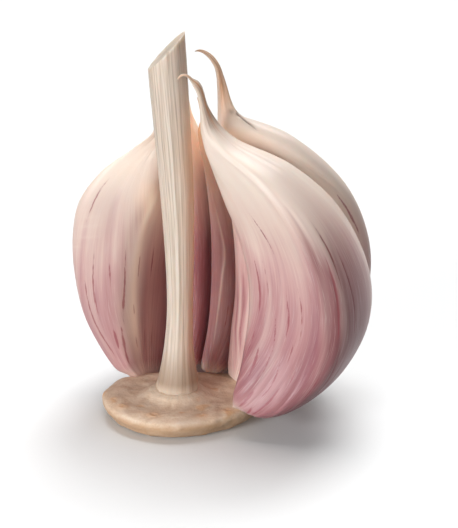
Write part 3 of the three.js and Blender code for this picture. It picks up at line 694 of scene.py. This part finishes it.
# A noise is its pace in each direction, its detail, its roughness and how far it bends.
skinLook = dict(
    constants={"Specular IOR Level": 0.5, "IOR": 1.42, "Emission Strength": 1.0,
               "Subsurface Radius": (1.0, 0.45, 0.28)},
    fibres=((2.6, 2.6, 0.09), 3, 0.6), threads=((6, 6, 0.2), 2, 0.6), bands=((0.55, 0.55, 0.03), 2, 0.5, 0.3),
    veins=((1.3, 1.3, 0.045), 2, 0.5), patches=((0.17, 0.17, 0.1), 2, 0.5), breaks=((1.6, 1.6, 0.55), 2, 0.6),
    husks=((0.5, 0.5, 0.1), 4, 0.65), seedShift=(3.1, 1.7),
    ramp=[(0.0, "FCF0E0"), (0.25, "EFD9CB"), (0.5, "D9B4AE"), (0.75, "BE8C8C"), (1.0, "9C6268")],
    huskRamp=[(0.33, "947B66"), (0.43, "CDB29B"), (0.54, "EAD6C4"), (0.66, "F3E6DA")],
    violet="A87380", tan="DDA47C", dusk="7E4A4B", pale="F9ECDD", thread="F7EEE2", rose="B0707A", core="96404B",
    ochre="D9955E", ash="8F8172", crack="5B3D2C", ember="DDC0A0",
)


def cloveSkin(clove):
    # pale skin that blushes by a ramp, under streaks of violet, tan and a dark coat, fine pale threads and broken
    # dashes;
    # the dark coat is mostly painted shade, the pale and tan coats also paint highlights and the orange of light
    # through thin skin, a faint emission is painted glow, and the dry tail is husk
    look, seed = skinLook, clove["seed"]
    paint = Paint(clove["node"] + "_skin", {
        **look["constants"], "Subsurface Weight": clove["glow"][0], "Subsurface Scale": clove["glow"][1] * mm,
    })
    flow = paint.field("flow")[0]
    _, pink, pale, tan = paint.field("tone")
    _, dry, crack, dusk = paint.field("wear")
    _, dash, mauve, ember = paint.field("marks")
    shift = (seed * look["seedShift"][0], seed * look["seedShift"][1], 0)
    fibres, threads, bands, veins, patches, breaks, husks = (
        paint.streaks(flow, *look[name], shift=shift)
        for name in ("fibres", "threads", "bands", "veins", "patches", "breaks", "husks"))

    streaky = (bands - 0.5) * 0.24 + (veins - 0.5) * 0.3 + (fibres - 0.5) * 0.26
    blush = pink + streaky * paint.soft(pink, 0.0, 0.4) + (patches - 0.5) * 0.25
    violet = mauve + paint.soft(veins, 0.52, 0.72) * paint.soft(blush, 0.25, 0.7) * 0.4
    rose = paint.soft(dash, -1.2, 0.6) * 0.22  # a faint tint all over, fuller round the dashes
    core = paint.soft(dash + (threads - 0.5) * 0.5 + (breaks - 0.5) * 0.8, 0.32, 0.68)
    skin = paint.layers(paint.ramp(look["ramp"], blush), look, violet=violet * 0.4, tan=tan, dusk=dusk, pale=pale,
                        thread=paint.soft(threads, 0.52, 0.75) * 0.22, rose=rose, core=core * 0.72)
    husk = paint.layers(paint.ramp(look["huskRamp"], husks), look, ochre=tan, ash=dusk)
    grain = fibres * 0.75 + threads * 0.25 - crack * 0.6 - core * 0.15
    return paint.finish({
        "Base Color": paint.layers(paint.blend(dry, skin, husk), look, crack=crack),
        "Roughness": 0.38 + (fibres - 0.5) * 0.25 + dry * 0.25,
        # painted glow: a faint emission where light shows through thin skin and where crests and creases are lifted
        # out of their shade
        "Emission Color": paint.blend(ember, "000000", look["ember"]),  # light that comes through thin skin
        "Normal": paint.bump(grain, 0.1, 0.35),
    })


def makeClove(clove):
    # the surface, raised by its relief along the normals, drawn in at the hem and lowered where the base leans out
    form = cloveForm
    grid, girth = cloveSurface(clove)
    grid = softenNeck(grid)
    facts = cloveFacts(grid, girth)
    grid = grid + gridNormals(grid) * cloveRelief(clove, facts)[..., None]
    hem = np.clip(1 - facts["rise"][..., None] / form["hemRise"], 0, 1) ** 2
    grid = grid + (grid.mean(1)[:, None] - grid) * hem * form["hemShrink"]
    lean = form["leanSlope"] * np.maximum(grid[..., 1] - clove["leanFrom"], 0)
    grid[..., 2] -= lean * (1 - smoothStep(*form["leanRise"], facts["rise"]))
    grid, fields = closeScar(grid, cloveFields(clove, facts))
    makePiece("skin_" + clove["node"], grid, fields, cloveSkin(clove), clove["node"])


for clove in (frontRight, right, backRight, back, left):
    makeClove(clove)
print("cloves done")


# Each row of the line is a height, the radius there and the middle's x and y. The cut rises by its slopes.
stalk = dict(
    seed=61, rows=220, columns=168, capRows=7, top=60, cutSlopeX=0.95, cutSlopeY=0.04, rowCrowding=1.4, cutPower=8,
    line=[[3.7, 3.3, 0.1, 0.5], [4.6, 3.5, 0.08, 0.5], [6.4, 3.15, 0.2, 0.4], [9, 2.7, 0.27, 0.3],
          [12, 2.36, 0.38, 0.2], [16, 2.17, 0.58, 0], [20, 2.14, 0.66, 0], [26, 2.3, 0.65, 0], [34, 2.58, 0.47, 0],
          [42, 2.8, 0.08, 0], [50, 2.95, -0.45, 0], [57, 3.05, -0.92, 0], [64, 3.05, -1.3, 0]],
    flowRadius=2.7, ribDepth=0.03, ribSize=[0.55, 0.55, 14], fineRibSize=[0.3, 0.3, 9], fineRibShare=0.6,
    fluteDepth=0.035, fluteCount=11, fluteSway=2, fluteSize=[2, 2, 12], fluteShare=0.35, footHeight=(4.5, 12),
    capRings=(0.95, 0.12), capDrop=0.12, cutTone=(0.3, 1),
    # painted warm glow, as of light showing through: strongest at its azimuth, losing a share of it between two
    # heights
    warmAzimuth=-10, warmHeight=(42, 54), warmLoss=0.8,
)


def stalkSurface():
    # a lofted tube whose radius and middle follow the line, its rings tilting to meet the slanting cut
    line, seed = np.array(stalk["line"], float), stalk["seed"]
    angle = 2 * np.pi * np.arange(stalk["columns"]) / stalk["columns"]
    f = np.linspace(0, 1, stalk["rows"])[:, None]
    foot, topRadius = line[0, 0], line[-2, 1]
    rise = topRadius * (stalk["cutSlopeX"] * np.cos(angle) + stalk["cutSlopeY"] * np.sin(angle))
    height = foot + f ** stalk["rowCrowding"] * (stalk["top"] - foot) + f ** stalk["cutPower"] * rise
    station = np.interp(height, line[:, 0], np.arange(len(line)))
    radius, x, y = np.moveaxis(curveAt(line, station.ravel()).reshape(*station.shape, 4), -1, 0)[1:]
    flow = aroundRing(angle + 0 * height, stalk["flowRadius"], height)
    ribs = softNoise(flow / stalk["ribSize"], seed)
    ribs = ribs + stalk["fineRibShare"] * softNoise(flow / stalk["fineRibSize"], seed + 1)
    footness = 1 - smoothStep(*stalk["footHeight"], height)
    sway = stalk["fluteSway"] * softNoise(flow / stalk["fluteSize"], seed + 2)
    flutes = np.sin(stalk["fluteCount"] * angle + sway)
    radius = radius + stalk["ribDepth"] * (ribs - 1)
    radius = radius + stalk["fluteDepth"] * flutes * (stalk["fluteShare"] + footness)
    grid = np.stack([x + radius * np.cos(angle), y + radius * np.sin(angle), height], -1)
    caps = ringsInward(grid[-1], np.linspace(*stalk["capRings"], stalk["capRows"]), stalk["capDrop"])
    grid = np.concatenate([grid, caps])
    flow = np.concatenate([flow, np.repeat(flow[-1:], len(caps), 0)])
    height = grid[..., 2]
    cut = np.concatenate([np.zeros(stalk["rows"]), np.linspace(*stalk["cutTone"], len(caps))])[:, None] + 0 * angle
    # painted warm glow on one side, fading up the stem
    warm = np.clip(np.cos(angle - math.radians(stalk["warmAzimuth"])), 0, 1) ** 2
    warm = warm * (1 - stalk["warmLoss"] * smoothStep(*stalk["warmHeight"], height))
    return grid, flow, np.stack([cut, warm, height], -1)


stalkLook = dict(
    constants={"Specular IOR Level": 0.3, "Subsurface Weight": 0.35, "Subsurface Scale": 3 * mm,
               "Subsurface Radius": (1.0, 0.55, 0.35)},
    fibres=((3.2, 3.2, 0.06), 3, 0.65), lines=((5.5, 5.5, 0.05), 2, 0.6), clouds=((0.5, 0.5, 0.1), 2, 0.5),
    ramp=[(0.25, "B09C8A"), (0.4, "D3C2B1"), (0.55, "E7D8C9"), (0.75, "F0E6DA")], lineShift=(9, 3, 0),
    line="9A8674", cloud="D9BEA6", warm="F3BE95", foot="A58D78", skirt="DCC9B6", cut="B9AA9B",
)


def stalkSkin():
    # fibres by a ramp, crossed by darker lines and soft clouds, with a painted warm glow on the side of the cloves,
    # as of light showing through; painted shade darkens the foot, which then pales
    look = stalkLook
    paint = Paint("stem_fibre", look["constants"])
    flow = paint.field("flow")[0]
    _, cut, warm, height = paint.field("tone")
    fibres = paint.streaks(flow, *look["fibres"])
    lines = paint.streaks(flow, *look["lines"], shift=look["lineShift"])
    clouds = paint.streaks(flow, *look["clouds"])
    return paint.finish({
        "Base Color": paint.layers(
            paint.ramp(look["ramp"], fibres), look, line=paint.soft(lines, 0.56, 0.66) * 0.5,
            # the warm coat is a painted glow and the foot coat is painted shade
            cloud=paint.soft(clouds, 0.45, 0.8) * 0.2, warm=warm * 0.65, foot=paint.soft(height, 13, 5.5) * 0.85,
            skirt=paint.soft(height, 6.0, 4.3) * 0.75, cut=cut * 0.9),
        "Roughness": 0.55 + (fibres - 0.5) * 0.3,
        "Normal": paint.bump(fibres * 0.6 + lines * 0.4, 0.12, 0.6),
    })


grid, flow, tone = stalkSurface()
makePiece("skin_stem", grid, {"flow": flow, "tone": tone}, stalkSkin(), "stem")
print("stem done")


# Each ring is a radius, a height and how far its middle has moved from the rim's to the stem's. A knot is its x and
# y, its size and its height.
disc = dict(
    seed=71, columns=288, rowsPerRing=11, rimCentre=[0.8, -0.95], footCentre=[0.08, 0.5],
    oval=0.09, ovalAzimuth=7, lobe=0.042, lobeAzimuth=20,
    rings=[[9.3, 0, 0], [11.0, 0.6, 0], [12.0, 1.7, 0], [12.3, 2.7, 0], [11.8, 3.45, 0],
           [9.9, 3.75, 0.1], [7.6, 3.5, 0.6], [6.1, 3.4, 1], [5.2, 3.6, 1], [4.5, 3.95, 1], [4.0, 4.1, 1],
           [3.6, 4.2, 1], [3.1, 4.25, 1], [2.5, 4.1, 1]],
    lumpSize=3.4, lumpHeight=0.14, fineLumpPace=2.3, fineLumpShare=0.5, lumpInset=1.2,
    dentDepth=0.05, dentSize=[0.9, 0.9, 0.5], reliefHeight=(0.3, 1.2),
    knots=[(-3.4, -9.2, 0.75, 0.12), (4.2, -9.6, 0.6, 0.08), (-8.6, -6.0, 0.7, 0.1), (-10.2, -3.2, 0.5, 0.08),
           (8.3, -7.4, 0.6, 0.08)],
    knotRing=0.3, knotSway=0.15, knotSwaySize=0.8, knotTone=1.5,
    collarRadius=4.1, collarWidth=0.75, collarHeight=(2.0, 3.0), sideHeight=(2.2, 3.4), flowRadius=5,
)


def discSurface():
    # rings turned about a middle that moves from the rim's to the stem's, with low woody lumps, dents and ringed
    # knots along the normals
    rings, seed = np.array(disc["rings"], float), disc["seed"]
    angle = 2 * np.pi * np.arange(disc["columns"]) / disc["columns"]
    t = np.linspace(0, len(rings) - 1, (len(rings) - 1) * disc["rowsPerRing"] + 1)
    radius, height, shift = (column[:, None] for column in curveAt(rings, t).T)
    shift = np.clip(shift, 0, 1)
    oval = disc["oval"] * np.cos(2 * (angle - math.radians(disc["ovalAzimuth"])))
    oval = oval + disc["lobe"] * np.cos(3 * (angle - math.radians(disc["lobeAzimuth"])))
    oval = 1 + (1 - shift) * oval
    (rimX, rimY), (footX, footY) = disc["rimCentre"], disc["footCentre"]
    x = rimX + (footX - rimX) * shift + radius * oval * np.cos(angle)
    y = rimY + (footY - rimY) * shift + radius * oval * np.sin(angle)
    grid = np.stack([x, y, np.maximum(height, 0) + 0 * angle], -1)
    lumps = softNoise(grid / disc["lumpSize"], seed)
    lumps = lumps + disc["fineLumpShare"] * softNoise(grid / disc["lumpSize"] * disc["fineLumpPace"], seed + 1)
    dents = softNoise(grid / disc["dentSize"], seed + 2) * disc["dentDepth"]
    above = smoothStep(*disc["reliefHeight"], grid[..., 2])
    relief = (disc["lumpHeight"] * (lumps - disc["lumpInset"]) + dents) * above
    knots, sway = 0 * relief, disc["knotSway"] * softNoise(grid / disc["knotSwaySize"], seed + 3)
    for x, y, size, rise in disc["knots"]:
        away = np.hypot(grid[..., 0] - x, grid[..., 1] - y) + sway
        relief = relief + rise * bell(away - size, disc["knotRing"])
        knots = np.maximum(knots, bell(away, size * disc["knotTone"]))
    grid = grid + gridNormals(grid) * relief[..., None]
    grid[..., 2] = np.maximum(grid[..., 2], 0)
    collar = bell(radius - disc["collarRadius"], disc["collarWidth"]) * smoothStep(*disc["collarHeight"], height)
    side = 1 - smoothStep(*disc["sideHeight"], height)
    flow = aroundRing(angle + 0 * radius, disc["flowRadius"], radius + 0 * angle)
    return grid, flow, np.stack([collar + 0 * angle, side + 0 * angle, knots], -1)


discLook = dict(
    constants={"Specular IOR Level": 0.3, "Subsurface Weight": 0.08, "Subsurface Scale": 1.5 * mm,
               "Subsurface Radius": (1.0, 0.55, 0.35)},
    mottle=(0.32, 3, 0.55, 0.6), fine=(2.6, 3, 0.65, 0.4), blotch=(0.22, 2, 0.5, 0.3),
    spread=((3.2, 3.2, 0.25), 3, 0.6), warp={"Scale": 0.2, "Detail": 2.0}, warpReach=(7, 7, 7),
    grain={"Scale": 0.13, "Distortion": 5.0, "Detail": 2.0, "Detail Scale": 0.7},
    eyes={"Scale": 0.24, "Smoothness": 0.4},
    ramp=[(0.28, "D2B197"), (0.42, "E5C9AE"), (0.58, "EED7C0"), (0.75, "F4E2D0")],
    stain="C6A992", eye="DDA468", knot="DC9F66", side="C9935F", collar="E1CFBB",
)


def discSkin():
    # mottled wood by a ramp, with stains, ochre eyes and knots, a darker side and a pale frayed collar
    look = discLook
    paint = Paint("plate_wood", look["constants"])
    place = paint.stretch(paint.node("TexCoord", out="Object"), (1 / mm, 1 / mm, 1 / mm))
    flow = paint.field("flow")[0]
    _, collar, side, knot = paint.field("tone")
    warp = paint.node("TexNoise", None, {"Vector": place, **look["warp"]}, out="Color")
    swirl = paint.node("VectorMath", {"operation": "MULTIPLY_ADD"}, {0: warp, 1: look["warpReach"], 2: place})
    rings = paint.node("TexWave", {"wave_type": "RINGS", "rings_direction": "Z"}, {"Vector": swirl, **look["grain"]},
                       out="Fac")
    mottle, fine, blotch = (paint.noise(place, *look[name]) for name in ("mottle", "fine", "blotch"))
    spread = paint.streaks(flow, *look["spread"])
    eyes = paint.node("TexVoronoi", {"feature": "SMOOTH_F1"}, {"Vector": swirl, **look["eyes"]}, out="Distance")
    return paint.finish({
        "Base Color": paint.layers(
            paint.ramp(look["ramp"], mottle * 0.38 + rings * 0.12 + fine * 0.46), look,
            stain=paint.soft(blotch, 0.48, 0.68) * 0.35, eye=paint.soft(eyes, 0.3, 0.1) * 0.5,
            knot=knot * paint.soft(fine, 0.35, 0.6, 0.2, 0.7), side=side * 0.5,
            collar=collar * paint.soft(spread, 0.35, 0.65, 0.2, 1.0)),
        "Roughness": 0.62 + (fine - 0.5) * 0.3,
        "Normal": paint.bump(mottle * 0.5 + rings * 0.2 + fine * 0.6 + spread * collar * 0.4, 0.25, 0.5),
    })


grid, flow, tone = discSurface()
makePiece("skin_basal_plate", grid, {"flow": flow, "tone": tone}, discSkin(), "basal_plate")
print("plate done")


# The camera's place is in millimetres. A sun is its name, azimuth, elevation, strength and spread in degrees; a
# panel is its name, place and size in metres, and power.
stage = dict(
    floorSize=3.0, floorColour=(0.915, 0.925, 0.926),
    skyColour=(1, 1, 1), skyStrength=0.12,
    suns=[("overhead", 80, 70, 2.1, 46), ("behind", 72, 46, 1.35, 34)],
    panels=[("left", (-0.5, -0.58, 0.17), 0.4, 5.3), ("fill", (0.2, -0.8, 0.1), 0.5, 1.6)], panelAim=(0, 0, 0.03),
    cameraPlace=(8.5, -256.8, 112.0), cameraDown=18.6, focalPixels=1700, pictureLongSide=528, sensor=36,
)


def makeFloor():
    half = stage["floorSize"] / 2
    mesh = bpy.data.meshes.new("floor")
    mesh.from_pydata([(-half, -half, 0), (half, -half, 0), (half, half, 0), (-half, half, 0)], [], [(0, 1, 2, 3)])
    paint = Paint("floor_paper", {"Base Color": (*stage["floorColour"], 1), "Roughness": 0.9,
                                  "Specular IOR Level": 0.1})
    mesh.materials.append(paint.material)
    floor = stand("floor", mesh)
    floor.visible_diffuse = False  # its white would otherwise flood the shaded side


def makeSun(name, azimuth, elevation, strength, spread):
    light = bpy.data.lights.new(name, "SUN")
    light.energy = strength
    light.angle = math.radians(spread)
    stand(name, light).rotation_euler = (0, math.radians(90 - elevation), math.radians(azimuth))


def makePanel(name, place, size, power):
    light = bpy.data.lights.new(name, "AREA")
    light.shape = "DISK"
    light.size = size
    light.energy = power
    lamp = stand(name, light)
    lamp.location = place
    lamp.rotation_euler = (Vector(stage["panelAim"]) - Vector(place)).to_track_quat("-Z", "Y").to_euler()


def makeCamera():
    lens = bpy.data.cameras.new("camera")
    lens.sensor_fit = "AUTO"
    lens.sensor_width = stage["sensor"]
    lens.lens = stage["focalPixels"] / stage["pictureLongSide"] * stage["sensor"]
    lens.clip_start = 0.01
    camera = stand("camera", lens)
    camera.location = [value * mm for value in stage["cameraPlace"]]
    camera.rotation_euler = Euler((math.radians(90 - stage["cameraDown"]), 0, 0))
    bpy.context.scene.camera = camera


def makeSky():
    world = bpy.data.worlds.new("studio")
    world.use_nodes = True
    sky = world.node_tree.nodes["Background"]
    sky.inputs["Color"].default_value = (*stage["skyColour"], 1)
    sky.inputs["Strength"].default_value = stage["skyStrength"]
    bpy.context.scene.world = world
    bpy.context.scene.view_settings.view_transform = "Standard"


makeFloor()
for sun in stage["suns"]:
    makeSun(*sun)
for panel in stage["panels"]:
    makePanel(*panel)
makeCamera()
makeSky()
print("stage set")
